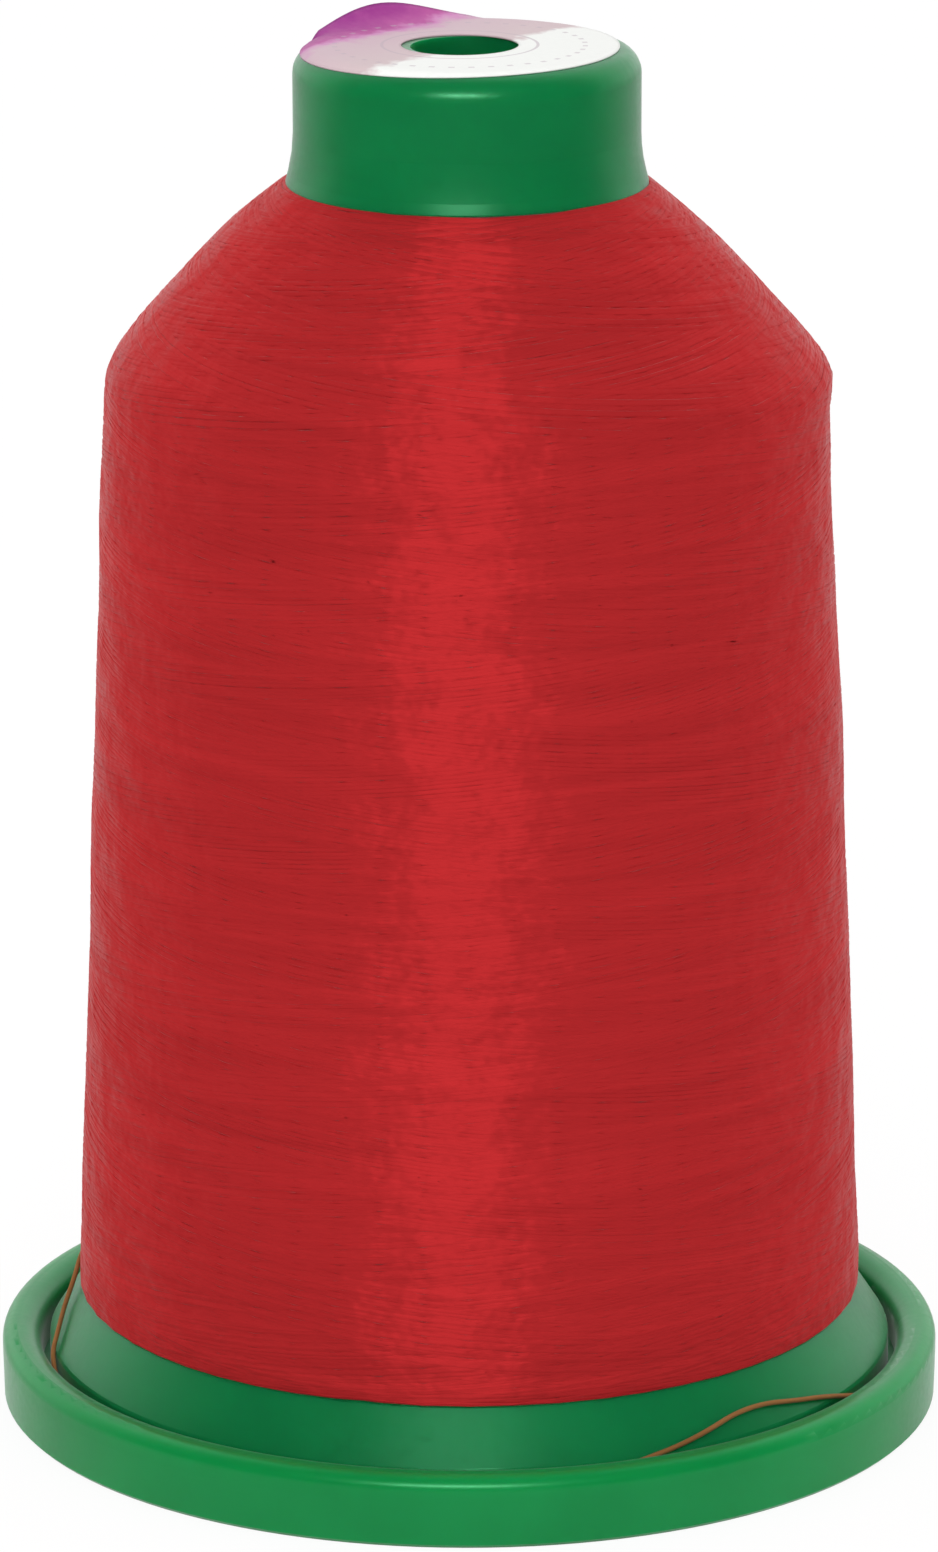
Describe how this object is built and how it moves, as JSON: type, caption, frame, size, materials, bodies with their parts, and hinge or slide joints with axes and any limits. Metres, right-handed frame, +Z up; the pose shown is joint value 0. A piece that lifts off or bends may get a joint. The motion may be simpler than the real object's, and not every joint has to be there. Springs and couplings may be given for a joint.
{
  "type": "spool of thread",
  "caption": "Large spool of embroidery thread: hollow moulded core with a neck and conical flange, snap foot that traps the thread end, paper disc on the head, wound thread.",
  "frame": {"origin": "on the table, under the middle of the foot, on the spool's axis", "axes": "+Z up along the spool's axis; -Y is the side of the picture, where the loop of thread end is at +X"},
  "size_m": [0.076, 0.076, 0.1122],
  "materials": {
    "green_plastic": "satin",
    "printed_paper": "satin",
    "thread": "satin",
    "thread_end": "satin"
  },
  "bodies": {
    "foot": {"snap_base": "green_plastic"},
    "spool": {"spool_core": "green_plastic", "top_label": "printed_paper", "thread_winding": "thread", "outer_turns": "thread", "thread_tail": "thread_end"}
  },
  "joints": [
    {"name": "foot_snap", "type": "slide", "parent": "foot", "child": "spool", "axis": [0, 0, 1], "range_m": [0, 0.004]}
  ]
}
